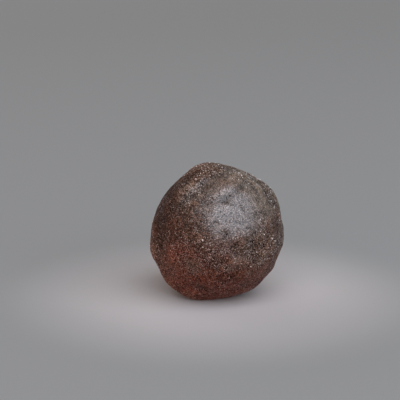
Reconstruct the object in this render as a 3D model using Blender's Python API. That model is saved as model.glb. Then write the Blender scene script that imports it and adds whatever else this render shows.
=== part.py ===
"""A moqui marble: a natural ball of sandstone cemented by iron, formed in one piece.

The ball is grown from a cube whose cells are pushed out to a lumpy, nearly round
surface. Its broad swells, facets, ridges and grooves are listed below with their
places and sizes. Small knobs and pits cover it all round, and the underside is
worn to one small flat foot, which the ball rests on.
"""

import math
import random

import bmesh
import bpy
from mathutils import Vector

# Driving dimensions, in metres. +Z is up, -Y is the front and the foot stands at Z = 0.
HALF_WIDTH = 0.0219  # X
HALF_DEPTH = 0.0217  # Y
HALF_HEIGHT = 0.0221  # Z, before the foot is worn flat
FOOT_DROP = 0.0218  # from the middle of the ball down to the foot
MEAN_RADIUS = (HALF_WIDTH + HALF_DEPTH + HALF_HEIGHT) / 3

CUBE_CELLS = 28  # cells along each edge of the cube that the ball is grown from
SHORTEST_EDGE = 0.00025  # shorter edges, left where the foot is cut, are merged away

# Broad swells (height above 0) and hollows (height below 0), by name:
# azimuth and elevation in degrees, then reach along the surface and height in metres.
# Azimuth 0 is the front and grows towards +X. At one reach the height has fallen to 37%.
SWELLS = {
    # the outline's big forms
    "crown knob": (-70, 79, 0.0056, 0.0016),
    "crown back slope": (-125, 63, 0.0040, 0.0005),
    "left brow facet": (-106, 48, 0.0070, -0.0009),
    "left cheek facet": (-95, 19, 0.0060, -0.0006),
    "left bulge": (-85, -16, 0.0047, 0.0013),
    "haunch low": (-76, -42, 0.0050, 0.0017),
    "haunch foot": (-58, -62, 0.0070, 0.0020),
    "right shoulder": (99, 34, 0.0064, 0.0009),
    "right nape": (128, 67, 0.0040, -0.0003),
    "right hip": (60, -60, 0.0070, 0.0009),
    "right flank": (74, -46, 0.0042, 0.0005),
    # the front's middle forms
    "front brow facet": (12, 31, 0.0085, -0.0005),
    "upper lobe": (14, 55, 0.0032, 0.0004),
    "right lobe": (44, 39, 0.0040, 0.00035),
    "brow right facet": (84, 50, 0.0040, -0.0005),
    "front left hollow": (-36, 26, 0.0045, -0.00035),
    "left eye hollow": (-60, -5, 0.0026, -0.0005),
    "small left knob": (-15, 10, 0.0015, 0.0003),
    "small front knob": (19.5, 8, 0.0016, 0.0003),
    "front pit a": (8, 12, 0.0015, -0.0003),
    "front pit b": (30, 4, 0.0020, -0.0004),
    "front pit c": (42, -1, 0.0019, -0.0004),
    "low right hollow": (32, -9, 0.0028, -0.0005),
    # the back, which carries the same kinds of form
    "back saddle": (176, 30, 0.0080, -0.0009),
    "back boss": (158, -8, 0.0052, 0.0009),
    "back left cheek": (-140, -4, 0.0068, 0.0007),
    "back left hollow": (-128, -38, 0.0060, -0.0008),
    "back low swell": (172, -48, 0.0055, 0.0006),
    "back right facet": (128, -32, 0.0060, -0.0007),
    "back dimple": (-165, 8, 0.0024, -0.0004),
    "back brow knob": (-158, 52, 0.0038, 0.0006),
}

# Long narrow forms, by name: the two ends' azimuth and elevation in degrees,
# then half width and height in metres. A height below 0 is a groove.
CRESTS = {
    "left brow ridge": (-38, 62, -48, 42, 0.0020, 0.0006),
    "left brow groove": (-25, 57, -40, 36, 0.0017, -0.0004),
    "front valley left": (-14, 39, 10, 43.5, 0.0014, -0.00035),
    "front valley right": (10, 43.5, 36, 54, 0.0014, -0.0004),
    "right shoulder ridge": (57, 67, 66, 48, 0.0016, 0.0004),
    "right cheek ridge": (66, 48, 56, 31, 0.0015, 0.0003),
    "low front ridge": (10, -10.5, 25, -13.5, 0.0014, 0.0006),
    "left cheek ridge": (-46, -5, -42, -18, 0.0012, 0.00025),
    "right rim ridge": (57, -8, 55, -16, 0.0013, 0.00025),
    "back long ridge": (146, 46, 124, 30, 0.0024, 0.0005),
    "back long ridge tail": (124, 30, 121, 12, 0.0020, 0.0003),
    "back groove": (-176, -18, -152, -26, 0.0018, -0.00035),
    "back left ridge": (-118, 20, -126, -6, 0.0022, 0.0004),
    "low back groove": (100, -20, 110, -40, 0.0019, -0.00035),
}

# Small knobs and pits, which cover the ball all round.
KNOB_SEED = 27
KNOB_COUNT = 300
KNOB_REACH = (0.0013, 0.0040)  # smallest and largest, in metres
KNOB_HEIGHT = 0.0006  # of the largest, up or down

# The front brow is worn smoother than the rest, so the small knobs fade out there.
WORN_BROW = (14, 32)  # azimuth and elevation in degrees
WORN_REACH = 0.0105  # along the surface

# Dark brown iron cement.
IRON_BROWN = (0.075, 0.040, 0.028, 1.0)
IRON_ROUGHNESS = 0.5


def direction(azimuth, elevation):
    """The outward unit vector at an azimuth and elevation given in degrees."""
    turn = math.radians(azimuth)
    rise = math.radians(elevation)
    return Vector((math.sin(turn) * math.cos(rise), -math.cos(turn) * math.cos(rise), math.sin(rise)))


def bell(distance, reach):
    """1 at no distance, falling smoothly to 0 a few reaches away."""
    return math.exp(-((distance / reach) ** 2))


def arc_between(a, b):
    """The distance along the surface between two outward unit vectors."""
    return MEAN_RADIUS * math.acos(max(-1.0, min(1.0, a.dot(b))))


def arc_to_crest(out, start, end):
    """The distance along the surface from a unit vector to the line between two others."""
    along = max(0.0, min(1.0, (out - start).dot(end - start) / (end - start).length_squared))
    nearest = start.lerp(end, along).normalized()
    return arc_between(out, nearest)


def small_knobs():
    """The seeded small knobs and pits, each an outward vector, a reach and a height."""
    rng = random.Random(KNOB_SEED)
    brow = direction(*WORN_BROW)
    knobs = []
    for _ in range(KNOB_COUNT):
        out = Vector((rng.gauss(0, 1), rng.gauss(0, 1), rng.gauss(0, 1))).normalized()
        reach = rng.uniform(*KNOB_REACH)
        height = rng.uniform(-1.0, 1.0) * KNOB_HEIGHT * reach / KNOB_REACH[1]
        height *= 1.0 - bell(arc_between(out, brow), WORN_REACH)
        knobs.append((out, reach, height))
    return knobs


def surface_radius(out, swells, crests):
    """How far the surface lies from the ball's middle along an outward unit vector."""
    radius = 1.0 / Vector((out.x / HALF_WIDTH, out.y / HALF_DEPTH, out.z / HALF_HEIGHT)).length
    for centre, reach, height in swells:
        radius += height * bell(arc_between(out, centre), reach)
    for start, end, half_width, height in crests:
        radius += height * bell(arc_to_crest(out, start, end), half_width)
    return radius


def grow_ball(mesh):
    """Push a cube of even cells out to the lumpy surface."""
    swells = [(direction(a, e), reach, height) for a, e, reach, height in SWELLS.values()]
    swells += small_knobs()
    crests = [
        (direction(a, b), direction(c, d), half_width, height)
        for a, b, c, d, half_width, height in CRESTS.values()
    ]
    bmesh.ops.create_cube(mesh, size=2.0)
    bmesh.ops.subdivide_edges(mesh, edges=mesh.edges, cuts=CUBE_CELLS - 1, use_grid_fill=True)
    for corner in mesh.verts:
        # the tangent spaces the cells evenly over the ball
        even = Vector([math.tan(side * math.pi / 4) for side in corner.co])
        out = even.normalized()
        corner.co = out * surface_radius(out, swells, crests)


def wear_foot(mesh):
    """Cut the underside flat and close it with one face."""
    cut = bmesh.ops.bisect_plane(
        mesh,
        geom=mesh.verts[:] + mesh.edges[:] + mesh.faces[:],
        plane_co=(0, 0, -FOOT_DROP),
        plane_no=(0, 0, -1),
        clear_outer=True,
    )
    rim = [item for item in cut["geom_cut"] if isinstance(item, bmesh.types.BMEdge)]
    bmesh.ops.contextual_create(mesh, geom=rim)
    bmesh.ops.remove_doubles(mesh, verts=mesh.verts, dist=SHORTEST_EDGE)


def stand_on_origin(mesh):
    """Move the ball so that the middle of its box stands over the origin, foot at Z = 0."""
    places = [corner.co for corner in mesh.verts]
    middle_x = (min(p.x for p in places) + max(p.x for p in places)) / 2
    middle_y = (min(p.y for p in places) + max(p.y for p in places)) / 2
    bmesh.ops.translate(mesh, verts=mesh.verts, vec=(-middle_x, -middle_y, FOOT_DROP))


def iron_cement():
    """The dark brown of the iron cement, with a dull polish."""
    material = bpy.data.materials.new("iron_cement")
    material.use_nodes = True
    shader = material.node_tree.nodes["Principled BSDF"]
    shader.inputs["Base Color"].default_value = IRON_BROWN
    shader.inputs["Roughness"].default_value = IRON_ROUGHNESS
    shader.inputs["Metallic"].default_value = 0.0
    return material


def make_stone():
    """The whole ball, as one closed body."""
    ball = bmesh.new()
    grow_ball(ball)
    wear_foot(ball)
    stand_on_origin(ball)
    bmesh.ops.recalc_face_normals(ball, faces=ball.faces)
    data = bpy.data.meshes.new("stone")
    ball.to_mesh(data)
    ball.free()
    data.shade_smooth()
    data.materials.append(iron_cement())
    stone = bpy.data.objects.new("stone", data)
    bpy.context.collection.objects.link(stone)
    return stone


def main():
    for old in list(bpy.data.objects):
        bpy.data.objects.remove(old)
    make_stone()


main()
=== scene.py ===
# %% [markdown]
# This notebook dresses one moqui marble: a ball of desert sandstone that iron has
# cemented and stained. The imported model gives its lumps at their real size. Here it
# gets its sandy skin, its quartz grains, its brown stain, which also carries painted
# light and shade, and its dull polish, and then a plain studio to be seen in.

import math

import bmesh
import bpy
import numpy as np
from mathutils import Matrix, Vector, noise
from mathutils.bvhtree import BVHTree


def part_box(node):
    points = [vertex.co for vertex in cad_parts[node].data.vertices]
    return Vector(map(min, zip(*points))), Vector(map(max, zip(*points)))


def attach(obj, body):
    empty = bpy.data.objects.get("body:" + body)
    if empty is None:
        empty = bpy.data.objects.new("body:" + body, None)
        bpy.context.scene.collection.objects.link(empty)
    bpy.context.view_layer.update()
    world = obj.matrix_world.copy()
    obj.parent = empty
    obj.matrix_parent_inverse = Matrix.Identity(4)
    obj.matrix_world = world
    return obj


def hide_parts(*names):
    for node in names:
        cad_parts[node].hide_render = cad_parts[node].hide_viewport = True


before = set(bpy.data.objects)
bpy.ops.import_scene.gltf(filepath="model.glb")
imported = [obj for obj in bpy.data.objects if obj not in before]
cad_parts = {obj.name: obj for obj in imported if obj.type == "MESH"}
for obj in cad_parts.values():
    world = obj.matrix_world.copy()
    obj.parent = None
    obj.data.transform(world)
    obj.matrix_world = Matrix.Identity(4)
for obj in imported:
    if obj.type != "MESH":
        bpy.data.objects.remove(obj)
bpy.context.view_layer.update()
MM = 0.001  # a millimetre, in metres

# %% [markdown]
# Every later step needs the stone's middle: rays leave from it to find the surface, and
# the camera and the lights are placed around it. It is worked out from the stone's own
# box, so it stays right if the stone is made again at another size.

# %% Find the stone's middle
MIDDLE_SHARE = 0.483  # the middle's height, as a share of the stone's

low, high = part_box("stone")
size = high - low
middle = Vector(((low.x + high.x) / 2, (low.y + high.y) / 2, low.z + MIDDLE_SHARE * size.z))
print("stone", [round(s / MM, 1) for s in size], "mm, middle", [round(m / MM, 2) for m in middle])

# %% [markdown]
# A small thing is photographed from about half a metre with a long lens, which keeps a
# ball looking round. The camera looks down at the stone by 15 degrees. Turning the
# camera a little, and not shifting its lens, puts the stone right of and below the
# centre of the picture.

# %% Place the camera
IMAGE_SIZE = 400  # pixels along each side of the square picture
PIXELS_PER_MM = 3.0  # at the stone
STONE_PIXEL = (217.0, 231.0)  # where the stone's middle shows
CAMERA_DISTANCE = 500 * MM
CAMERA_RISE = math.radians(15)
SENSOR_WIDTH = 36.0  # mm
CLIP_START = 10 * MM

to_camera = Vector((0, -math.cos(CAMERA_RISE), math.sin(CAMERA_RISE)))
picture_right = Vector((1, 0, 0))
picture_up = to_camera.cross(picture_right)
off_right = (STONE_PIXEL[0] - IMAGE_SIZE / 2) / PIXELS_PER_MM * MM
off_down = (STONE_PIXEL[1] - IMAGE_SIZE / 2) / PIXELS_PER_MM * MM
aim = middle - picture_right * off_right + picture_up * off_down


def look(thing, place, target):
    """Put a camera or a lamp at a place and turn it to face a target."""
    thing.location = place
    thing.rotation_euler = (target - place).to_track_quat("-Z", "Y").to_euler()


lens = bpy.data.cameras.new("long_lens")
lens.sensor_width = SENSOR_WIDTH
lens.lens = SENSOR_WIDTH * CAMERA_DISTANCE / (IMAGE_SIZE / PIXELS_PER_MM * MM)
lens.clip_start = CLIP_START
camera = bpy.data.objects.new("camera", lens)
bpy.context.scene.collection.objects.link(camera)
look(camera, middle + to_camera * CAMERA_DISTANCE, aim)
bpy.context.scene.camera = camera
print("lens", round(lens.lens, 1), "mm")

# %% [markdown]
# The stone's skin is one fine mesh. A ball mesh with poles would pinch at the top and
# the bottom, so this one starts as a cube with a fine grid on its six sides, blown up to
# a ball. Its cells stay nearly square all round. Each side of the cube also gives one
# chart of a texture map, laid out three across and two up, so that colours can be baked.

# %% Make a fine ball grid
GRID_CELLS = 125  # along each edge of the cube, which gives cells about 0.28 mm wide
MAP_NAME = "OFBake"
CHARTS_ACROSS = 3
CHARTS_UP = 2
CHART_MARGIN = 0.006  # as a share of a chart


def ball_grid():
    """A cube of even cells with its six charts mapped, and each corner's outward direction."""
    grid = bmesh.new()
    bmesh.ops.create_cube(grid, size=2.0)
    bmesh.ops.subdivide_edges(grid, edges=grid.edges, cuts=GRID_CELLS - 1, use_grid_fill=True)
    chart_map = grid.loops.layers.uv.new(MAP_NAME)
    for face in grid.faces:
        axis = max(range(3), key=lambda i: abs(face.normal[i]))
        chart = axis + CHARTS_ACROSS * (face.normal[axis] > 0)
        across, up = [i for i in range(3) if i != axis]
        for corner in face.loops:
            place = [(corner.vert.co[i] + 1) / 2 for i in (across, up)]
            place = [CHART_MARGIN + p * (1 - 2 * CHART_MARGIN) for p in place]
            u = (chart % CHARTS_ACROSS + place[0]) / CHARTS_ACROSS
            v = (chart // CHARTS_ACROSS + place[1]) / CHARTS_UP
            corner[chart_map].uv = (u, v)
    corners = np.array([corner.co for corner in grid.verts])
    evened = np.tan(corners * math.pi / 4)  # spaces the cells evenly over the ball
    return grid, evened / np.linalg.norm(evened, axis=1)[:, None]


grid, outward = ball_grid()
print(len(grid.verts), "corners,", len(grid.faces), "cells")

# %% [markdown]
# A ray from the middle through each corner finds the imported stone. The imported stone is
# faceted, so the distances are then blurred with their neighbours', which rounds the
# facets off and leaves the lumps. The same blur, run for longer, later tells a crest
# from a hollow.

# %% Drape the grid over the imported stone
FACET_BLUR = 7  # rounds

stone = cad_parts["stone"]
cad_tree = BVHTree.FromPolygons(
    [v.co for v in stone.data.vertices],
    [p.vertices for p in stone.data.polygons],
)
links = np.array([[v.index for v in edge.verts] for edge in grid.edges])
link_count = np.bincount(links.ravel(), minlength=len(outward))


def blurred(values, rounds):
    """Values at the grid's corners, each mixed evenly with its neighbours' in every round."""
    for _ in range(rounds):
        total = np.bincount(links[:, 0], values[links[:, 1]], len(values))
        total += np.bincount(links[:, 1], values[links[:, 0]], len(values))
        values = (values + total / link_count) / 2
    return values


reach = np.array([cad_tree.ray_cast(middle, Vector(out))[3] for out in outward])
reach = blurred(reach, FACET_BLUR)
origin = np.array(middle)
smooth_skin = origin + outward * reach[:, None]
print("surface from", round(reach.min() / MM, 2), "to", round(reach.max() / MM, 2), "mm out")

# %% [markdown]
# Up close the skin is worn sand: it rolls in waves a few millimetres long, and single
# grains and small clumps have fallen out and left pits. Layered noise gives the waves. A
# Voronoi pattern keeps its seeds apart from each other, as pits are, so a seed gives one
# pit or none, and a slow noise makes them crowd in some places and leave others bare.

# %% Waves and scattered pits
WAVE_LENGTH = 3.6  # mm
WAVE_HEIGHT = 0.14  # mm
WAVE_LAYERS = 3  # of noise
LAYER_RATIO = 2.0  # each layer is this many times finer than the one before,
LAYER_FALLOFF = 1.0  # and lower by this power of that ratio
RIPPLE_LENGTH = 1.15  # mm
RIPPLE_HEIGHT = 0.044  # mm
PIT_SPACING = 1.25  # mm
PIT_RADIUS = (0.26, 0.50)  # mm
PIT_DEPTH = (0.06, 0.16)  # mm
PIT_SHARE = 0.16  # of the seeds that make a pit, where the slow noise is 0
PIT_CROWDING = 1.0  # how far the slow noise raises or lowers that share
# A pit is painted dark, as shade in it, and this sets how fast that painted shade fills in.
PIT_DARKNESS = 1.6  # above 1, so that a pit is fully dark before its deepest point
LUCK_SPACING = 37.1  # gives neighbouring seeds unlike luck
CROWD_LENGTH = 6.5  # mm, from one crowd of pits to the next


def rolling(place):
    """The height of the waves and ripples at a place, in mm."""
    wave = noise.fractal(place / WAVE_LENGTH, LAYER_FALLOFF, LAYER_RATIO, WAVE_LAYERS)
    return WAVE_HEIGHT * wave + RIPPLE_HEIGHT * noise.noise(place / RIPPLE_LENGTH)


def scattered_pit(place):
    """How deep the nearest scattered pit is at a place, in mm, and its painted shade, from 0 to 1.
    """
    distances, seeds = noise.voronoi(place / PIT_SPACING)
    luck = noise.cell(seeds[0] * LUCK_SPACING) * 0.5 + 0.5
    crowd = noise.noise(seeds[0] * PIT_SPACING / CROWD_LENGTH)
    share = PIT_SHARE + PIT_CROWDING * crowd
    if luck > share:
        return 0.0, 0.0
    growth = 1 - luck / share
    radius = PIT_RADIUS[0] + (PIT_RADIUS[1] - PIT_RADIUS[0]) * growth
    depth = PIT_DEPTH[0] + (PIT_DEPTH[1] - PIT_DEPTH[0]) * growth
    bowl = max(0.0, 1 - (distances[0] * PIT_SPACING / radius) ** 2)
    return depth * bowl, min(1.0, PIT_DARKNESS * bowl)


print("waves", WAVE_HEIGHT, "mm high, scattered pits up to", PIT_DEPTH[1], "mm deep")

# %% [markdown]
# The pits that the front is known by are placed by name. An azimuth and an elevation give
# each its direction from the stone's middle, as they give a place on a globe.

# %% Named pits
NAMED_PITS = {  # azimuth, elevation (degrees), radius, depth (mm)
    "brow hook top": (7, 35, 0.28, 0.09),
    "brow hook side": (4, 32, 0.26, 0.09),
    "brow hook end": (7, 29, 0.24, 0.08),
    "brow spot": (25, 24, 0.30, 0.08),
    "under brow first": (4, 15, 0.36, 0.11),
    "under brow second": (9, 12, 0.32, 0.09),
    "under brow third": (12, 8, 0.36, 0.11),
    "under brow fourth": (17, 13, 0.36, 0.10),
    "band first": (26, 6, 0.40, 0.12),
    "band second": (31, 4, 0.60, 0.18),
    "band third": (38, 1, 0.56, 0.18),
    "band fourth": (43, -2, 0.48, 0.15),
    "band fifth": (47, 3, 0.34, 0.10),
    "brow edge first": (-14, 29, 0.36, 0.10),
    "brow edge second": (-15, 23, 0.38, 0.12),
    "brow edge third": (-10, 17, 0.34, 0.10),
    "left eye": (-59, -6, 0.45, 0.14),
    "low left dent": (-32, -5, 0.36, 0.10),
}


def direction(azimuth, elevation):
    """The outward unit vector at an azimuth from the front and an elevation, in degrees."""
    turn, climb = math.radians(azimuth), math.radians(elevation)
    level = math.cos(climb)
    return np.array([math.sin(turn) * level, -math.cos(turn) * level, math.sin(climb)])


def arc_to(out, azimuth, elevation):
    """How far along the surface each outward direction lies from a named place, in mm."""
    return np.arccos(np.clip(out @ direction(azimuth, elevation), -1, 1)) * reach.mean() / MM


def named_pits(out):
    """How deep the named pits are along each outward direction, in mm, and their painted shade."""
    depths, dark = np.zeros(len(out)), np.zeros(len(out))
    for azimuth, elevation, radius, depth in NAMED_PITS.values():
        bowl = np.clip(1 - (arc_to(out, azimuth, elevation) / radius) ** 2, 0, 1)
        depths = np.maximum(depths, depth * bowl)
        dark = np.maximum(dark, np.minimum(1, PIT_DARKNESS * bowl))
    return depths, dark


print(len(NAMED_PITS), "pits are named")

# %% [markdown]
# Now the relief comes together. A quick noise shifts each place a little before its pit
# is looked up, which makes every pit's edge ragged. That noise starts from a seed, so
# that every run gives the same stone. The front brow is worn smoother, so its scattered
# pits are shallower and its waves flatter. At the foot the relief fades out.

# %% Raise the sandy relief
RAGGED_LENGTH = 0.7  # mm
RAGGED_SHIFT = 0.30  # mm
RAGGED_SEED = 4  # the same ragged edges in every run
FOOT_FADE = 0.9  # mm above the foot over which the relief grows in
WORN_BROW = (16, 31)  # azimuth, elevation (degrees)
WORN_REACH = 9.5  # mm
WORN_SHARE = 0.8  # of a scattered pit, lost at the middle of the brow
WORN_WAVE = 0.4  # of a wave or a ripple, lost at the middle of the brow
SPOT_EDGE = 3  # the power that keeps a spot even inside and lets it fade at its edge

noise.seed_set(RAGGED_SEED)
places = [Vector(place) for place in smooth_skin / MM]
ragged = np.array([noise.noise_vector(place / RAGGED_LENGTH) for place in places]) * RAGGED_SHIFT
# pitted is how strongly each place is painted dark, as shade in a pit.
pit_depth, pitted = np.array([scattered_pit(p + Vector(r)) for p, r in zip(places, ragged)]).T
worn = np.exp(-((arc_to(outward, *WORN_BROW) / WORN_REACH) ** SPOT_EDGE))
kept = 1 - WORN_SHARE * worn
moved = (smooth_skin - origin) / MM + ragged
named_depth, named_dark = named_pits(moved / np.linalg.norm(moved, axis=1)[:, None])
pitted = np.maximum(pitted * kept, named_dark)
heights = np.array([rolling(place) for place in places]) * (1 - WORN_WAVE * worn)
heights -= np.maximum(pit_depth * kept, named_depth)
rise = np.clip((smooth_skin[:, 2] - low.z) / MM / FOOT_FADE, 0, 1)
heights = heights * rise * rise * (3 - 2 * rise)  # eased at both ends
skin = smooth_skin + outward * heights[:, None] * MM
skin[:, 2] = np.maximum(skin[:, 2], low.z)
print("relief from", round(heights.min(), 3), "to", round(heights.max(), 3), "mm")
print("pitted share", round(float((pitted > 0.5).mean()), 3))

# %% [markdown]
# Handling polishes what stands proud. The colour also paints the crests lighter and the
# hollows darker, as painted light and shade. The shader can't see crests and hollows by
# itself, so they are measured here: a corner's distance from the middle, less the blurred
# distance, is above 0 on a crest and below 0 in a hollow. A short blur tells this for the
# grains and a long one for the lumps.

# %% Measure crests and hollows
GRAIN_BLUR = 12  # rounds, which reach a grain or two
LUMP_BLUR = 220  # rounds, which reach across a lump
GRAIN_RANGE = 0.10  # mm between a hollow and a crest, among the grains
LUMP_RANGE = 0.45  # mm between a hollow and a crest, among the lumps

skin_reach = np.linalg.norm(skin - origin, axis=1)
grain_blur = blurred(skin_reach, GRAIN_BLUR)
lump_blur = blurred(grain_blur, LUMP_BLUR)
grain_crest = np.clip(0.5 + (skin_reach - grain_blur) / MM / GRAIN_RANGE, 0, 1)
lump_crest = np.clip(0.5 + (grain_blur - lump_blur) / MM / LUMP_RANGE, 0, 1)
for name, crest in (("grain crest", grain_crest), ("lump crest", lump_crest)):
    print(name, "mean", round(float(crest.mean()), 3), "spread", round(float(crest.std()), 3))

# %% [markdown]
# The skin can now be built. Each corner moves to its place on the finished surface. The
# measures are stored on the mesh as attributes, where a material can read them.

# %% Build the skin
def mesh_object(name, data):
    """A new object in the scene that shows this mesh."""
    thing = bpy.data.objects.new(name, data)
    bpy.context.scene.collection.objects.link(thing)
    return thing


def store(data, name, values):
    """Keep one number for each corner of a mesh, for its material to read."""
    data.attributes.new(name, "FLOAT", "POINT").data.foreach_set("value", values.astype(np.float32))


skin_data = bpy.data.meshes.new("sandy_skin")
grid.to_mesh(skin_data)
grid.free()
skin_data.vertices.foreach_set("co", skin.ravel())
skin_data.shade_smooth()
store(skin_data, "grain_crest", grain_crest)
store(skin_data, "lump_crest", lump_crest)
store(skin_data, "pitted", pitted)
skin_data.update()
sandy_skin = mesh_object("sandy_skin", skin_data)
print(sandy_skin.name, len(skin_data.polygons), "faces, with", list(skin_data.attributes.keys()))

# %% [markdown]
# The stone isn't the same all over. Handling and blown sand have polished some places,
# and rust reddens others; at the lower left and round the foot that rust is partly
# painted warm light. The dark spots are partly iron and partly painted shade: on the side
# turned from the window, in the valley and the grooves, under ledges and low down. The
# pale sandy spots are partly bare sand and partly painted light: on ridges that face the
# window, in patches the relief shades, and as painted sheen beside the polished brow.
# Each such spot is a soft-edged disc around a direction on the stone, and where two of a
# kind overlap the stronger one counts. The skin and the grains look up the same spots.

# %% Lay out polished, rusted, dark and pale spots, with painted light and shade
SPOTS = {  # kind: name: azimuth, elevation (degrees), reach (mm), strength
    "polish": {
        "front brow": (15, 32, 12.9, 1.0),
        "under the brow": (18, 5, 6.0, 0.2),
        "upper lobe": (1, 55, 6.4, 0.95),
        "right lobe": (46, 39, 6.6, 0.9),
        "right cheek": (54, 20, 6.0, 0.4),
        "left brow": (-38, 43, 4.5, 0.4),
        "low front": (19, -12, 2.8, 0.6),
        "right side": (102, 8, 9.0, 0.7),
        "back right": (140, 34, 8.0, 0.5),
        "back boss": (162, -6, 8.0, 0.8),
        "back left cheek": (-140, 6, 9.0, 0.8),
        "back crown": (-170, 62, 8.0, 0.2),
        "left side": (-112, 18, 7.0, 0.5),
    },
    # Rust; at the lower left and round the foot it is partly painted warm light from below.
    "rust": {
        "left haunch": (-33, -29, 13.0, 0.9),
        "left flank": (-76, -29, 9.0, 0.45),
        "left side": (-56, 6, 11.0, 0.25),
        "front foot": (10, -50, 13.0, 0.9),
        "front middle": (2, -13, 10.0, 0.4),
        "right side": (62, 14, 8.0, 0.25),
        "right cheek": (50, -16, 7.0, 0.3),
        "low right": (38, -22, 7.0, 0.5),
        "right foot": (58, -38, 11.0, 0.9),
        "back low": (170, -38, 13.0, 0.8),
        "back left": (-135, -10, 9.0, 0.6),
        "back right cheek": (125, 12, 7.0, 0.4),
    },
    # Dark spots: partly iron black, partly painted shade on the side away from the window, in the
    # valley and grooves, under ledges and low down.
    "dark": {
        "left brow facet": (-74, 33, 9.5, 1.0),
        "left eye": (-61, 8, 8.5, 0.6),
        "left of the brow": (-38, 19, 8.0, 0.65),
        "left temple": (-63, 24, 9.5, 1.0),
        "left of centre": (-18, 22, 4.0, 0.5),
        "left of centre edge": (-22, 10, 3.6, 0.5),
        "left of centre low": (-16, -1, 4.6, 0.45),
        "low middle": (4, -8, 3.5, 0.35),
        "pit band left": (8, 8, 2.6, 0.3),
        "valley left": (-14, 42, 1.4, 0.4),
        "valley right": (29, 53, 2.4, 0.35),
        "brow groove": (-23, 39, 2.4, 0.5),
        "brow groove top": (-28, 44, 2.2, 0.5),
        "crown slope": (-56, 60, 4.5, 0.6),
        "crown front": (-25, 70, 4.0, 0.3),
        "under the brow left": (-11, 13, 3.4, 0.5),
        "under the brow": (20, 11, 2.0, 0.35),
        "pit band right": (37, 2, 3.2, 0.45),
        "right rim": (60, 13, 4.5, 0.4),
        "low front": (0, -25, 6.0, 0.45),
        "low left": (-12, -32, 6.0, 0.45),
        "under the pit band": (18, -2, 4.2, 0.4),
        "right cheek": (53, -3, 3.6, 0.25),
        "right brow edge": (63, 31, 3.0, 0.2),
        "under the low ridge": (21, -22, 4.0, 0.6),
        "low right": (34, -27, 6.0, 0.25),
        "right foot": (75, -38, 9.0, 0.3),
        "back saddle": (178, 26, 8.0, 0.6),
        "back left hollow": (-124, -40, 9.0, 0.6),
        "right side low": (112, -24, 7.0, 0.6),
    },
    # Pale sandy spots: partly bare sand, partly painted highlights on ridges facing the window and
    # painted sheen beside the polished brow.
    "sandy": {
        "right brow": (58, 61, 8.5, 1.0),
        "right shoulder": (92, 40, 7.0, 0.4),
        "right lobe": (54, 36, 6.0, 0.8),
        "left brow ridge": (-35, 47, 4.4, 0.9),
        "left brow ridge end": (-42, 38, 3.2, 0.8),
        "brow groove": (-22, 50, 3.5, 0.3),
        "under the crown": (-6, 59, 3.4, 0.8),
        "brow left edge": (-22, 36, 5.5, 0.2),
        "valley": (11, 46, 2.6, 0.6),
        "brow left": (-6, 35, 4.8, 0.5),
        "brow right": (44, 27, 5.0, 0.4),
        "left of the lobe": (-6, 50, 4.5, 0.6),
        "left haunch": (-38, -18, 5.5, 0.3),
        "left haunch front": (-23, -18, 4.0, 0.55),
        "left foot": (-56, -30, 5.0, 0.35),
        "right rim": (61, -16, 4.0, 0.4),
        "low front ridge": (17, -11, 2.6, 0.3),
        "low right ridge": (33, -7, 3.0, 0.4),
        "right cheek": (41, -12, 4.0, 0.5),
        "low right": (50, -26, 4.0, 0.3),
        "crown": (-60, 76, 6.0, 0.1),
        "back nape": (150, 60, 7.0, 0.6),
        "back left brow": (-140, 38, 7.0, 0.5),
    },
}


def spot_strength(kind, out):
    """How strongly the spots of one kind mark each outward direction, from 0 to 1."""
    strongest = np.zeros(len(out))
    for azimuth, elevation, spot_reach, strength in SPOTS[kind].values():
        away = arc_to(out, azimuth, elevation)
        strongest = np.maximum(strongest, strength * np.exp(-((away / spot_reach) ** SPOT_EDGE)))
    return strongest


for kind in SPOTS:
    mark = spot_strength(kind, outward)
    store(skin_data, kind, mark)
    print(kind, "covers", round(float((mark > 0.4).mean()), 2), "of the skin")

# %% [markdown]
# Single quartz grains sit in the iron cement and stand a little proud of it. Their flat
# breaks catch the light, which gives the stone its sparkle. Each grain is a jittered
# icosahedron, or a jittered octahedron in the finest set, turned at random.

# %% Shape and turn a grain
GRAIN_KINDS = 9  # differently jittered shapes
GRAIN_JITTER = 0.22  # of a grain's radius


def grain_shapes(rng, angular):
    """A few irregular grains of radius 1, and the triangles that they all share."""
    ball = bmesh.new()
    if angular:
        bmesh.ops.create_uvsphere(ball, u_segments=4, v_segments=2, radius=1.0)
    else:
        bmesh.ops.create_icosphere(ball, subdivisions=1, radius=1.0)
    corners = np.array([v.co for v in ball.verts])
    triangles = np.array([[v.index for v in f.verts] for f in ball.faces])
    ball.free()
    jitters = [rng.uniform(-1, 1, (len(corners), 1)) for _ in range(GRAIN_KINDS)]
    return [corners * (1 + GRAIN_JITTER * jitter) for jitter in jitters], triangles


def random_turns(rng, count):
    """Turns picked evenly from all there are, as 3 by 3 matrices."""
    q = rng.normal(size=(count, 4))
    q /= np.linalg.norm(q, axis=1)[:, None]
    w, x, y, z = q.T
    rows = [
        [1 - 2 * (y * y + z * z), 2 * (x * y - w * z), 2 * (x * z + w * y)],
        [2 * (x * y + w * z), 1 - 2 * (x * x + z * z), 2 * (y * z - w * x)],
        [2 * (x * z - w * y), 2 * (y * z + w * x), 1 - 2 * (x * x + y * y)],
    ]
    return np.array(rows).transpose(2, 0, 1)


print(GRAIN_KINDS, "kinds of grain in each set")

# %% [markdown]
# Thousands of separate objects would be slow, so the grains of a set are joined in one
# mesh. A ray from the middle finds each one's seat on the skin. It is stretched its own
# way and sunk past its middle, and further where polish has worn it down. A number stored
# on each grain gives its tone, and the strength of the spots around it is stored as well.

# %% Seat a set of grains and join them
GRAIN_STRETCH = (0.72, 1.28)  # of a grain's radius, along each axis
POLISH_WEAR = 0.55  # of a grain's radius, worn off where the polish is fullest
MAP_FILL = 0.32  # of a grain's cell of the map, which its radius takes

skin_tree = BVHTree.FromPolygons(
    [v.co for v in skin_data.vertices],
    [p.vertices for p in skin_data.polygons],
)


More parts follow.
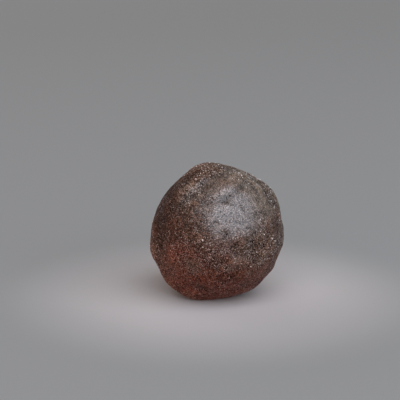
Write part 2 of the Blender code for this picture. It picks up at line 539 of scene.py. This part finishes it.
def make_grains(name, outs, radius, tone, sunk, rng, angular=False):
    """One mesh with a grain in each direction, each with its own tone and cell of the map.

    Each middle lies below the skin by the share sunk of its radius, and deeper in polish.
    """
    kinds, triangles = grain_shapes(rng, angular)
    count, per_grain = len(outs), len(kinds[0])
    hits = [skin_tree.ray_cast(middle, Vector(out)) for out in outs]
    spots = np.array([hit[0] for hit in hits])
    normals = np.array([hit[1] for hit in hits])
    depth = radius * (sunk + POLISH_WEAR * spot_strength("polish", outs))
    shape = np.array([kinds[i] for i in rng.integers(0, GRAIN_KINDS, count)])
    stretch = rng.uniform(*GRAIN_STRETCH, (count, 1, 3))
    sized = shape * stretch * radius[:, None, None]
    seats = spots - normals * depth[:, None]
    corners = sized @ random_turns(rng, count) + seats[:, None, :]
    faces = triangles[None] + (np.arange(count) * per_grain)[:, None, None]
    data = bpy.data.meshes.new(name)
    data.from_pydata(corners.reshape(-1, 3).tolist(), [], faces.reshape(-1, 3).tolist())
    store(data, "grain_tone", np.repeat(tone, per_grain))
    for kind in SPOTS:
        store(data, kind, np.repeat(spot_strength(kind, outs), per_grain))
    across = math.ceil(math.sqrt(count))
    cell = np.stack([np.arange(count) % across, np.arange(count) // across], axis=1)
    local = 0.5 + MAP_FILL * shape[:, triangles.ravel(), :2]
    corner_uvs = ((cell[:, None, :] + local) / across).astype(np.float32)
    data.uv_layers.new(name=MAP_NAME).uv.foreach_set("vector", corner_uvs.ravel())
    data.update()
    print(name, count, "grains,", len(data.polygons), "triangles")
    return mesh_object(name, data)


print("a tree of", len(skin_data.polygons), "faces to seat grains on")

# %% [markdown]
# A few coarse, well-washed grains catch the eye, so they are placed by name.

# %% Place the coarse grains
COARSE_GRAINS = {  # azimuth, elevation (degrees), radius (mm)
    "top right": (57, 68, 0.42),
    "right brow": (72, 55, 0.34),
    "upper lobe back": (28, 62, 0.28),
    "brow first": (22, 36, 0.20),
    "brow second": (-4, 24, 0.20),
    "right brow back": (107, 48, 0.34),
    "right brow front": (53, 55, 0.30),
    "left of centre": (-12, 7, 0.36),
    "left of centre low": (-12, 1, 0.28),
    "left of centre middle": (-9, 4, 0.26),
    "left bulge": (-52, -7, 0.28),
    "under the sheen": (20, 9, 0.38),
    "right cheek": (53, 3, 0.34),
    "bottom": (-8, -36, 0.32),
    "upper lobe": (-1, 49, 0.32),
    "brow ridge": (-39, 61, 0.28),
    "crown": (-91, 84, 0.28),
    "brow hook": (8, 34, 0.22),
    "low front": (12, -29, 0.26),
    "low left": (-23, -14, 0.24),
    "under the brow": (16, 11, 0.26),
    "under the brow right": (22, 8, 0.24),
    "cheek first": (44, 8, 0.24),
    "cheek second": (50, -2, 0.22),
    "cheek third": (36, -6, 0.22),
    "rim second": (58, -8, 0.26),
    "low ridge first": (15, -12, 0.26),
    "low ridge second": (21, -14, 0.24),
    "shoulder first": (38, 60, 0.26),
    "shoulder second": (44, 52, 0.24),
    "brow left": (-20, 42, 0.24),
    "left field": (-38, 10, 0.22),
    "left field low": (-35, -16, 0.20),
    "low right": (31, -18, 0.28),
    "right rim": (72, 26, 0.28),
    "back brow": (165, 44, 0.36),
    "back middle": (-172, 10, 0.32),
    "back left": (-130, 22, 0.34),
    "back low": (150, -26, 0.30),
}

coarse_grains = make_grains(
    "coarse_grains",
    np.array([direction(azimuth, elevation) for azimuth, elevation, _ in COARSE_GRAINS.values()]),
    np.array([radius for _, _, radius in COARSE_GRAINS.values()]) * MM,
    np.ones(len(COARSE_GRAINS)),
    sunk=0.4,
    rng=np.random.default_rng(5),
)

# %% [markdown]
# The other grains are too many to name, so they are scattered evenly at random, each
# kind from its own seed. None sits near the foot, where the stone rubs on what it lies
# on, and none in a pit, because that is where grains have fallen out. The bigger a grain
# is, the further it stands out and the cleaner it has been washed, so one draw gives
# both its tone and its size. The rarity, a power, makes big clean ones rare.

# %% Scatter the other grains
GRAIN_CLEARANCE = 0.45  # mm above the foot, below which no grain sits
MOST_PITTED = 0.3  # where the skin is more of a pit than this, no grain sits

first_corner = [p.vertices[0] for p in skin_data.polygons]


def scatter_grains(name, count, radii, sunk, rarity, seed, angular=False):
    """Grains at random over the skin, with radii from the first to the second, in mm."""
    rng = np.random.default_rng(seed)
    outs = []
    while len(outs) < count:
        out = Vector(rng.normal(size=3)).normalized()
        spot, _, face, _ = skin_tree.ray_cast(middle, out)
        if spot.z - low.z > GRAIN_CLEARANCE * MM and pitted[first_corner[face]] < MOST_PITTED:
            outs.append(out)
    tone = rng.uniform(0, 1, count) ** rarity
    radius = (radii[0] + (radii[1] - radii[0]) * tone) * MM
    return make_grains(name, np.array(outs), radius, tone, sunk, rng, angular)


pale_grains = scatter_grains("pale_grains", 9500, (0.08, 0.19), sunk=0.5, rarity=2.8, seed=11)
brown_grains = scatter_grains("brown_grains", 9500, (0.10, 0.19), sunk=0.6, rarity=2.0, seed=23)
fine_grains = scatter_grains(
    "fine_grains", 24000, (0.06, 0.14), sunk=0.4, rarity=2.0, seed=37, angular=True
)

# %% [markdown]
# Materials are built from node groups, one for each effect. A group is made once, with
# named sockets, and then placed wherever the effect is needed with its own numbers.
# These small helpers lay down a node and fill its sockets, so that each group below
# reads like a recipe.

# %% Helpers that place nodes
def fill(tree, node, fills):
    """Fill a node's sockets: another node's socket is linked in, and anything else is set.

    A socket is given by its name, with _ for a space, or as _0, _1 and so on by its number.
    """
    for name, value in fills.items():
        socket = node.inputs[int(name[1:]) if name[0] == "_" else name.replace("_", " ")]
        if isinstance(value, bpy.types.NodeSocket):
            tree.links.new(value, socket)
        else:
            socket.default_value = value


def lay(tree, kind, operation=None, **fills):
    """Add a node to a tree and fill its sockets."""
    node = tree.nodes.new(kind)
    if operation:
        node.operation = operation
    fill(tree, node, fills)
    return node


def new_group(name, takes, gives):
    """An empty node group with its sockets: {name: (kind, default)} in, {name: kind} out."""
    group = bpy.data.node_groups.new(name, "ShaderNodeTree")
    for label, (kind, default) in takes.items():
        kind = "NodeSocket" + kind
        socket = group.interface.new_socket(label, in_out="INPUT", socket_type=kind)
        socket.default_value = default
    for label, kind in gives.items():
        kind = "NodeSocket" + kind
        group.interface.new_socket(label, in_out="OUTPUT", socket_type=kind)
    inner = group.nodes.new("NodeGroupInput")
    return group, inner.outputs, group.nodes.new("NodeGroupOutput").inputs


def place_group(tree, group, **fills):
    """Put a node group in a material, with its own values."""
    node = tree.nodes.new("ShaderNodeGroup")
    node.node_tree = group
    fill(tree, node, fills)
    return node.outputs


print("node helpers ready")

# %% [markdown]
# Most masks take only a few kinds of step: a sum, a smooth stretch from one range to
# another, one colour laid over another, and a value multiplied by many measures, which is
# how several small effects darken or hide the same place. Each kind gets a helper.

# %% Helpers that work out masks and colours
def calc(tree, operation, a, b=0.0, clamp=False):
    """One step of arithmetic between sockets or plain numbers."""
    node = lay(tree, "ShaderNodeMath", operation, _0=a, _1=b)
    node.use_clamp = clamp
    return node.outputs[0]


def spread(tree, value, low_in, high_in, low_out=0.0, high_out=1.0):
    """Stretch a value from one range to another, smoothly at both ends."""
    node = lay(
        tree,
        "ShaderNodeMapRange",
        Value=value,
        From_Min=low_in,
        From_Max=high_in,
        To_Min=low_out,
        To_Max=high_out,
    )
    node.interpolation_type = "SMOOTHSTEP"
    return node.outputs[0]


def blend_colours(tree, share, a, b):
    """Colour b laid over colour a, by a share from 0 to 1."""
    node = lay(tree, "ShaderNodeMix", _0=share, _6=a, _7=b)  # 6 and 7 take the colours
    node.data_type = "RGBA"
    return node.outputs[2]


def times(tree, value, measures, ranges):
    """A value multiplied by some measures, each first stretched from one range to another."""
    for name, ends in ranges.items():
        value = calc(tree, "MULTIPLY", value, spread(tree, measures[name], *ends))
    return value


print("mask helpers ready")

# %% [markdown]
# Iron cement isn't one brown. Where it rusted it is red, and at the lower left and round
# the foot that red is partly painted warm light. The near-black layer is partly iron that
# gathered and partly painted shade, and the paler layer is partly bare sand and partly
# painted light. The spots say where, and noise breaks up their edges, so that no disc can
# be made out. Both the skin and the grains wear this stain, so a grain takes the colour
# around it, painted light and shade included.

# %% Group: iron stain
VEIN_FINENESS = 3.1  # how many times finer the dark veins are than the other patches
STAIN_LAYERS = (  # spot, share of noise added, where its colour starts and is full, colour
    # Rust is partly painted warm light, the sand layer partly painted light, the dark layer partly
    # painted shade.
    ("Rust", 0.3, 0.0, 1.05, "Rust Brown"),
    ("Sandy", 0.7, 0.4, 1.25, "Sand Brown And Light"),
    ("Dark", 0.8, 0.3, 1.45, "Iron Black And Shade"),
)


def read_attribute(tree, name):
    """A number stored on the mesh."""
    node = tree.nodes.new("ShaderNodeAttribute")
    node.attribute_name = name
    return node.outputs["Fac"]


def make_iron_stain():
    """Olive brown, laid over where their spots are with rust, with bare sand and painted light, and
    with iron black and painted shade.
    """
    group, takes, gives = new_group(
        "iron_stain",
        {
            "Rust": ("Float", 0.0),
            "Dark": ("Float", 0.0),
            "Sandy": ("Float", 0.0),
            "Olive Brown": ("Color", (0.090, 0.0420, 0.0152, 1)),
            "Rust Brown": ("Color", (0.136, 0.0280, 0.0110, 1)),
            # This pale sand colour also paints light, and the near-black below it also paints
            # shade.
            "Sand Brown And Light": ("Color", (0.172, 0.113, 0.073, 1)),
            "Iron Black And Shade": ("Color", (0.037, 0.0132, 0.0060, 1)),
            "Patch Scale": ("Float", 95.0),
        },
        {"Color": "Color"},
    )
    where = group.nodes.new("ShaderNodeTexCoord").outputs["Object"]
    scale = takes["Patch Scale"]
    patches = lay(
        group, "ShaderNodeTexNoise", Vector=where, Scale=scale, Detail=3.0, Roughness=0.6
    )
    finer = calc(group, "MULTIPLY", scale, VEIN_FINENESS)
    veins = lay(
        group, "ShaderNodeTexNoise", Vector=where, Scale=finer, Detail=4.0, Roughness=0.65
    )
    tints = lay(group, "ShaderNodeSeparateColor", Color=patches.outputs["Color"]).outputs
    noises = {"Rust": tints["Red"], "Sandy": tints["Green"], "Dark": veins.outputs["Fac"]}
    colour = takes["Olive Brown"]
    for spot, added, start, full, paint in STAIN_LAYERS:
        mark = calc(group, "ADD", takes[spot], calc(group, "MULTIPLY", noises[spot], added))
        share = spread(group, mark, start, full)
        colour = blend_colours(group, share, colour, takes[paint])
    group.links.new(colour, gives["Color"])
    return group


def stain_a_tree(tree):
    """The iron stain, placed in a material and fed with the spots stored on the mesh."""
    spots = {label: read_attribute(tree, label.lower()) for label in ("Rust", "Dark", "Sandy")}
    return place_group(tree, iron_stain, **spots)["Color"]


iron_stain = make_iron_stain()
print(iron_stain.name, [s.name for s in iron_stain.interface.items_tree])

# %% [markdown]
# Between the grains that are modelled lie many more that are too small for a mesh. A
# Voronoi texture gives each its own tone and its own little dome. It also tips each
# grain's face a little its own way, so that one grain mirrors the window and the next
# doesn't, which is what makes the sheen look frosted.

# %% Group: fine sand
BEND_SCALE = 900.0  # of the noise that bends the grains' straight edges
BEND_SHIFT = 0.5 * MM
DOME_SLOPE = 1.2  # how fast a grain's dome falls away from its middle
MIDDLE_EDGE = (0.22, 0.48, 1.0, 0.0)  # 1 this near a grain's middle, in cells, then 0
NO_TIP = (0.5, 0.5, 0.5)  # the random colour that leaves a face as it is


def make_fine_sand():
    """Small packed grains: each one's tone and tint, its dome, its middle and its tipped face."""
    group, takes, gives = new_group(
        "fine_sand",
        {"Grains per Metre": ("Float", 2900.0), "Tip": ("Float", 0.3)},
        {
            "Tone": "Float",
            "Tint": "Float",
            "Height": "Float",
            "Middle": "Float",
            "Normal": "Vector",
        },
    )

    def vector_step(operation, **fills):
        return lay(group, "ShaderNodeVectorMath", operation, **fills).outputs["Vector"]

    where = group.nodes.new("ShaderNodeTexCoord").outputs["Object"]
    bend = lay(group, "ShaderNodeTexNoise", Vector=where, Scale=BEND_SCALE, Detail=1.0)
    nudge = vector_step("SCALE", _0=bend.outputs["Color"], Scale=BEND_SHIFT)
    place = vector_step("ADD", _0=where, _1=nudge)
    cells = lay(
        group, "ShaderNodeTexVoronoi", Vector=place, Scale=takes["Grains per Metre"]
    ).outputs
    slope = calc(group, "MULTIPLY", cells["Distance"], DOME_SLOPE)
    lean = vector_step("SUBTRACT", _0=cells["Color"], _1=NO_TIP)
    lean = vector_step("SCALE", _0=lean, Scale=takes["Tip"])
    facing = group.nodes.new("ShaderNodeNewGeometry").outputs["Normal"]
    tipped = vector_step("NORMALIZE", _0=vector_step("ADD", _0=facing, _1=lean))
    colours = lay(group, "ShaderNodeSeparateColor", Color=cells["Color"]).outputs
    for label, value in {
        "Tone": colours["Red"],
        "Tint": colours["Green"],
        "Height": calc(group, "SUBTRACT", 1.0, slope, clamp=True),
        "Middle": spread(group, cells["Distance"], *MIDDLE_EDGE),
        "Normal": tipped,
    }.items():
        group.links.new(value, gives[label])
    return group


fine_sand = make_fine_sand()
print(fine_sand.name, [s.name for s in fine_sand.interface.items_tree])

# %% [markdown]
# The skin brings it together. It first gathers what its colour and gloss go by: the
# crests and spots stored on the mesh, and packed grains in two sizes, grit and silt, from
# the same group. Some of it is dug out: the pits, and a few thin dark seams, which run
# where a noise crosses its middle value. Bare grains lie in clumps, with the seams
# between them.

# %% Gather what the skin goes by
GRIT_PER_METRE = 3500.0  # so a grain is about 0.29 mm wide
SILT_PER_METRE = 6800.0  # so a grain is about 0.15 mm wide
GRIT_TIP = (0.8, 0.45)  # how far a grain tips, where nothing is polished and where all is
SILT_TIP = 0.35
SILT_IN_PITS = -0.4  # how much the silt's tone takes from a pit, for a sandy edge
PIT_EDGE = (0.1, 0.5)  # where a pit begins to be dug out and is so fully
CLUMP_SCALE = 420.0
SEAM_SCALE = 330.0
SEAM_MIDDLE = 0.5  # the middle value of its noise
SEAM_EDGE = (0.008, 0.03, 1.0, 0.0)  # share of a seam, near that value and away from it
SEAM_GAPS = {"clump": (0.4, 0.55, 1.0, 0.0)}  # share of a seam, outside and in a clump
SEAM_DEPTH = 0.8  # how far a seam is dug out, where a pit is 1
STORED = ("grain_crest", "lump_crest", "rust", "dark", "polish")


def skin_measures(tree):
    """What the skin's colour and gloss go by, by name: the stored numbers, sand and masks."""
    found = {name: read_attribute(tree, name) for name in STORED}
    tip = spread(tree, found["polish"], 0.0, 1.0, *GRIT_TIP)
    grit = place_group(tree, fine_sand, Grains_per_Metre=GRIT_PER_METRE, Tip=tip)
    silt = place_group(tree, fine_sand, Grains_per_Metre=SILT_PER_METRE, Tip=SILT_TIP)
    for label in ("Tone", "Tint", "Middle", "Height", "Normal"):
        found["grit_" + label.lower()] = grit[label]
    for label in ("Tone", "Middle", "Height"):
        found["silt_" + label.lower()] = silt[label]
    where = tree.nodes.new("ShaderNodeTexCoord").outputs["Object"]
    clumps = lay(tree, "ShaderNodeTexNoise", Vector=where, Scale=CLUMP_SCALE, Detail=2.0)
    found["clump"] = clumps.outputs["Fac"]
    seams = lay(
        tree, "ShaderNodeTexNoise", Vector=where, Scale=SEAM_SCALE, Detail=3.0, Distortion=0.4
    )
    seam = calc(tree, "SUBTRACT", seams.outputs["Fac"], SEAM_MIDDLE)
    seam = spread(tree, calc(tree, "ABSOLUTE", seam), *SEAM_EDGE)
    seam = times(tree, seam, found, SEAM_GAPS)
    eaten = calc(tree, "MULTIPLY", found["silt_tone"], SILT_IN_PITS)
    pit = calc(tree, "ADD", read_attribute(tree, "pitted"), eaten)
    pit = spread(tree, pit, *PIT_EDGE)
    found["dug"] = calc(tree, "MAXIMUM", pit, calc(tree, "MULTIPLY", seam, SEAM_DEPTH))
    found["whole"] = calc(tree, "SUBTRACT", 1.0, found["dug"])
    return found


print("the skin goes by", len(STORED), "stored numbers and two sizes of sand")

# %% [markdown]
# The colour is the iron stain, shaded grain by grain. The grains' tones differ at random,
# and painted shade darkens the pits and each grain's edge, while the crests get painted
# light and the hollows painted shade. A dusty veil lies on the palest grains, and a few
# grains are bare quartz, tan to nearly white. Rust, polish and the dark spots hide a part
# of both.

# %% Colour the skin
SHADES = {  # by measure: from, to, and the shade at each
    # Crests get painted light and hollows painted shade.
    "grain_crest": (0.1, 0.9, 0.7, 1.25),
    "lump_crest": (0.1, 0.9, 0.65, 1.25),
    "grit_tone": (0.0, 0.95, 0.34, 1.48),
    # Painted shade at each grain's edge, between the grains.
    "grit_middle": (0.0, 1.0, 0.7, 1.1),
    "silt_tone": (0.0, 1.0, 0.2, 1.6),
    # Painted shade in the pits, which also darkens the seams.
    "dug": (0.0, 1.0, 1.0, 0.45),
}
SHOWING = {  # by spot: from, to, and the share of veil and quartz that shows at each
    "rust": (0.1, 0.7, 1.0, 0.65),
    "dark": (0.1, 0.7, 1.0, 0.3),
    "polish": (0.3, 1.0, 1.0, 0.5),
}
VEILED = {"grit_tone": (0.3, 1.0), "silt_tone": (0.25, 0.85, 0.0, 0.75)}  # share of veil
BARE_GRIT = {"grit_tone": (0.72, 1.0)}  # the tones between which a grain becomes bare
BARE_SILT = {"silt_tone": (0.8, 1.0)}
CLUMPED = {"clump": (0.38, 0.62, 0.35, 1.0)}  # share of bare grains, outside and in a clump
DUSTY_VEIL = (0.228, 0.196, 0.178, 1)
TAN_QUARTZ = (0.35, 0.28, 0.24, 1)
WHITE_QUARTZ = (0.86, 0.76, 0.71, 1)


def skin_colour(tree, found):
    """Iron stain shaded by the grains, with painted light and shade, then the dusty veil, then the
    bare quartz.
    """
    showing = times(tree, 1.0, found, SHOWING)
    shade = times(tree, 1.0, found, SHADES)
    colour = lay(tree, "ShaderNodeVectorMath", "SCALE", _0=stain_a_tree(tree), Scale=shade)
    veiled = times(tree, calc(tree, "MULTIPLY", found["whole"], showing), found, VEILED)
    colour = blend_colours(tree, veiled, colour.outputs["Vector"], DUSTY_VEIL)
    grit = times(tree, found["grit_middle"], found, BARE_GRIT)
    silt = times(tree, found["silt_middle"], found, BARE_SILT)
    bare = calc(tree, "MULTIPLY", calc(tree, "MAXIMUM", grit, silt), showing)
    bare = times(tree, bare, found, CLUMPED)
    quartz = blend_colours(tree, found["grit_tint"], TAN_QUARTZ, WHITE_QUARTZ)
    return blend_colours(tree, bare, colour, quartz)


print(len(SHADES), "measures shade the stain")

# %% [markdown]
# Handling has laid a thin polish over the grains, which a coat stands for. It lies in the
# polished spots only, but not in the pits, and it is thinner in hollows, on dark grains
# and under the dark spots, which are partly painted shade. The cement below it is dull,
# and duller in hollows.

# %% Material: iron-cemented sand
COATED = {  # by measure: from, to, and the share of the coat at each
    "grit_tone": (0.0, 0.3, 0.6, 1.0),
    "silt_tone": (0.2, 0.5, 0.45, 1.0),
    "lump_crest": (0.1, 0.7, 0.6, 1.0),
    "dark": (0.0, 0.6, 1.0, 0.35),
}
COAT_ROUGHNESS = 0.41
COAT_IOR = 1.95  # iron oxide mirrors more than plain lacquer
CEMENT_IOR = 1.15  # low, because rough cement hardly mirrors
DULLNESS = (0.15, 0.8, 0.6, 0.42)  # crest: from, to, and the roughness at each
SILT_HEIGHT = 0.5  # of the grit's height
BUMP_HEIGHT = 0.2 * MM


def new_material(name):
    """An empty material with a Principled BSDF, and its node tree."""
    material = bpy.data.materials.new(name)
    material.use_nodes = True
    tree = material.node_tree
    return material, tree, tree.nodes["Principled BSDF"]


def make_skin_material():
    """Dark brown sand in iron cement, coated where it is polished."""
    material, tree, shader = new_material("iron_cemented_sand")
    found = skin_measures(tree)
    coat = calc(tree, "MULTIPLY", found["whole"], found["polish"])
    height = calc(tree, "MULTIPLY", found["silt_height"], SILT_HEIGHT)
    height = calc(tree, "ADD", found["grit_height"], height)
    bump = lay(
        tree,
        "ShaderNodeBump",
        Height=height,
        Strength=1.0,
        Distance=BUMP_HEIGHT,
        Normal=found["grit_normal"],
    )
    finish = {
        "Base Color": skin_colour(tree, found),
        "Roughness": spread(tree, found["grain_crest"], *DULLNESS),
        "IOR": CEMENT_IOR,
        "Coat Weight": times(tree, coat, found, COATED),
        "Coat Roughness": COAT_ROUGHNESS,
        "Coat IOR": COAT_IOR,
        "Normal": bump.outputs["Normal"],
    }
    fill(tree, shader, finish)
    return material


skin_data.materials.append(make_skin_material())
print("skin material on", sandy_skin.name)

# %% [markdown]
# The grains wear the same stain, painted light and shade included, worn thin by how clean
# each one is, and less so under the rust and the dark spots, which are partly painted
# shade. The coarse set is pale, the pale set is nearly white where it is cleanest, the
# brown set is still coated, and the fine set has a little of each. All are smoother than
# the cement, so they glint, and polish coats them too.

# %% Material: quartz grains
GRAIN_COAT = 0.65  # of the coat's weight, where the polish is fullest
STAIN_HOLD = dict.fromkeys(("rust", "dark"), (0.1, 0.8, 1.0, 0.3))  # share worn off there


def make_grain_material(name, thin, thick, clean, roughness, ior):
    """Quartz with its iron coat worn away by a share that grows with the grain's tone."""
    material, tree, shader = new_material(name)
    spots = {kind: read_attribute(tree, kind) for kind in ("rust", "dark", "polish")}
    worn = spread(tree, read_attribute(tree, "grain_tone"), 0.0, 1.0, thick, thin)
    worn = times(tree, worn, spots, STAIN_HOLD)
    finish = {
        "Base Color": blend_colours(tree, worn, stain_a_tree(tree), clean),
        "Roughness": roughness,
        "IOR": ior,
        "Coat Weight": calc(tree, "MULTIPLY", spots["polish"], GRAIN_COAT),
        "Coat Roughness": COAT_ROUGHNESS,
        "Coat IOR": COAT_IOR,
    }
    fill(tree, shader, finish)
    return material


GRAIN_FINISHES = {  # name, stain worn off at tone 1 and at tone 0, clean colour, roughness, IOR
    coarse_grains: ("clean_quartz", 0.95, 0.95, (0.72, 0.64, 0.59, 1), 0.25, 1.54),
    pale_grains: ("washed_quartz", 1.0, 0.05, (0.84, 0.76, 0.71, 1), 0.2, 1.7),
    brown_grains: ("coated_quartz", 0.5, 0.0, (0.225, 0.155, 0.125, 1), 0.36, 1.2),
    fine_grains: ("mixed_quartz", 0.9, 0.0, (0.58, 0.485, 0.43, 1), 0.3, 1.4),
}
for grains, finish in GRAIN_FINISHES.items():
    grains.data.materials.append(make_grain_material(*finish))
    print(grains.name, "is", finish[0])

# %% [markdown]
# All five pieces belong to the stone. They ride on the model's one body, and together
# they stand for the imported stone, which is then hidden.

# %% Join the pieces to the stone
for piece in (sandy_skin, *GRAIN_FINISHES):
    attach(piece, "root")
    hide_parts("stone")
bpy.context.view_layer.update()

# %% [markdown]
# The studio is a round floor that sweeps up into a wall, so that from any side it runs
# out of sight with no more than a soft line. Its section is drawn once, from the middle
# outwards, and spun about the stone's upright axis.

# %% Build the floor and its backdrop
FLOOR_RADIUS = 3.5  # metres
CORNER_RADIUS = 0.6  # metres
WALL_HEIGHT = 2.5  # metres
CORNER_STEPS = 12
ROUND_STEPS = 96
MERGE_DISTANCE = 0.1 * MM  # joins the spin's two ends and the middle's many corners


def sweep_profile():
    """The floor's section from the middle outwards: flat, then a quarter circle, then a wall."""
    flat = FLOOR_RADIUS - CORNER_RADIUS
    points = [(0.0, 0.0), (flat, 0.0)]
    for step in range(1, CORNER_STEPS + 1):
        turn = math.pi / 2 * step / CORNER_STEPS
        across, up = math.sin(turn), 1 - math.cos(turn)
        points.append((flat + CORNER_RADIUS * across, CORNER_RADIUS * up))
    return points + [(FLOOR_RADIUS, WALL_HEIGHT)]


def make_floor():
    """Spin the section about the stone's upright axis."""
    sweep = bmesh.new()
    line = [sweep.verts.new((across, 0, up)) for across, up in sweep_profile()]
    edges = [sweep.edges.new(pair) for pair in zip(line, line[1:])]
    bmesh.ops.spin(
        sweep,
        geom=line + edges,
        cent=(0, 0, 0),
        axis=(0, 0, 1),
        angle=2 * math.pi,
        steps=ROUND_STEPS,
    )
    bmesh.ops.remove_doubles(sweep, verts=sweep.verts, dist=MERGE_DISTANCE)
    data = bpy.data.meshes.new("floor")
    sweep.to_mesh(data)
    sweep.free()
    data.shade_smooth()
    return mesh_object("floor", data)


floor = make_floor()
floor.location.z = low.z
print("floor", len(floor.data.polygons), "faces")

# %% [markdown]
# The floor is matt paper in soft rings: pale round the stone, mid grey a little further
# out, and paler again far out, where less light falls. The wall faces the light more
# squarely, so it is darker and still looks about as light. Each change is smooth, so that
# no ring has an edge.

# %% Material: studio paper
PALE_PAPER = (0.37, 0.335, 0.318, 1)
GREY_PAPER = (0.220, 0.214, 0.202, 1)
FAR_PAPER = (0.51, 0.50, 0.478, 1)
WALL_PAPER = (0.272, 0.267, 0.252, 1)
GREY_RING = (0.02, 0.08)  # metres out, where the grey begins and is full
FAR_RING = (0.6, 3.2)  # metres out, where the far paper begins and is full
WALL_STEP = (0.0, 0.6)  # metres up, where the wall begins and is full
PAPER_ROUGHNESS = 0.9


def make_paper():
    """Matt paper that goes by how far out and how far up it is."""
    material, tree, shader = new_material("studio_paper")
    where = tree.nodes.new("ShaderNodeTexCoord").outputs["Object"]
    out = lay(tree, "ShaderNodeVectorMath", "LENGTH", _0=where).outputs["Value"]
    up = lay(tree, "ShaderNodeSeparateXYZ", Vector=where).outputs["Z"]
    colour = blend_colours(tree, spread(tree, out, *GREY_RING), PALE_PAPER, GREY_PAPER)
    colour = blend_colours(tree, spread(tree, out, *FAR_RING), colour, FAR_PAPER)
    colour = blend_colours(tree, spread(tree, up, *WALL_STEP), colour, WALL_PAPER)
    finish = {
        "Base Color": colour,
        "Roughness": PAPER_ROUGHNESS,
        "Specular IOR Level": 0.0,  # so that it mirrors nothing
    }
    fill(tree, shader, finish)
    return material


floor.data.materials.append(make_paper())
print(floor.name, "is", floor.active_material.name)

# %% [markdown]
# One big soft window, above the stone and in front of it to the right, makes the broad
# cool sheen. A low warm fill from the front left warms that side, and a weak fill from
# the back left keeps the far side readable. Neither fill shows in what is glossy, and the
# world lifts what no lamp reaches.

# %% Light it
ROOM_COLOUR = (1.0, 0.96, 0.92, 1)
ROOM_STRENGTH = 0.17


def soft_light(name, toward, distance, width, height, watts, colour, mirrored):
    """A rectangular soft light that faces the stone's middle, and may show in what is glossy."""
    lamp = bpy.data.lights.new(name, "AREA")
    lamp.shape = "RECTANGLE"
    lamp.size = width
    lamp.size_y = height
    lamp.energy = watts
    lamp.color = colour
    holder = bpy.data.objects.new(name, lamp)
    holder.visible_glossy = mirrored
    bpy.context.scene.collection.objects.link(holder)
    look(holder, middle + Vector(toward).normalized() * distance, middle)
    print(name, watts, "watts")


LAMPS = {  # where it lies from the middle, distance, width, height (metres), watts, colour
    "window": ((0.312, -0.661, 0.683), 2.25, 3.90, 3.45, 159.0, (0.775, 0.85, 0.975)),
    "warm_fill": ((-0.66, -0.75, 0.07), 1.5, 1.2, 0.3, 14.5, (1.0, 0.45, 0.23)),
    "back_fill": ((-0.45, 0.70, 0.60), 2.0, 2.0, 2.0, 14.0, (1.0, 0.95, 0.9)),
}
for name, lamp in LAMPS.items():
    soft_light(name, *lamp, mirrored=name == "window")

sky = bpy.data.worlds.new("room_light")
sky.use_nodes = True
background = sky.node_tree.nodes["Background"]
fill(sky.node_tree, background, {"Color": ROOM_COLOUR, "Strength": ROOM_STRENGTH})
bpy.context.scene.world = sky
bpy.context.scene.view_settings.view_transform = "Standard"
print(sky.name, ROOM_STRENGTH)
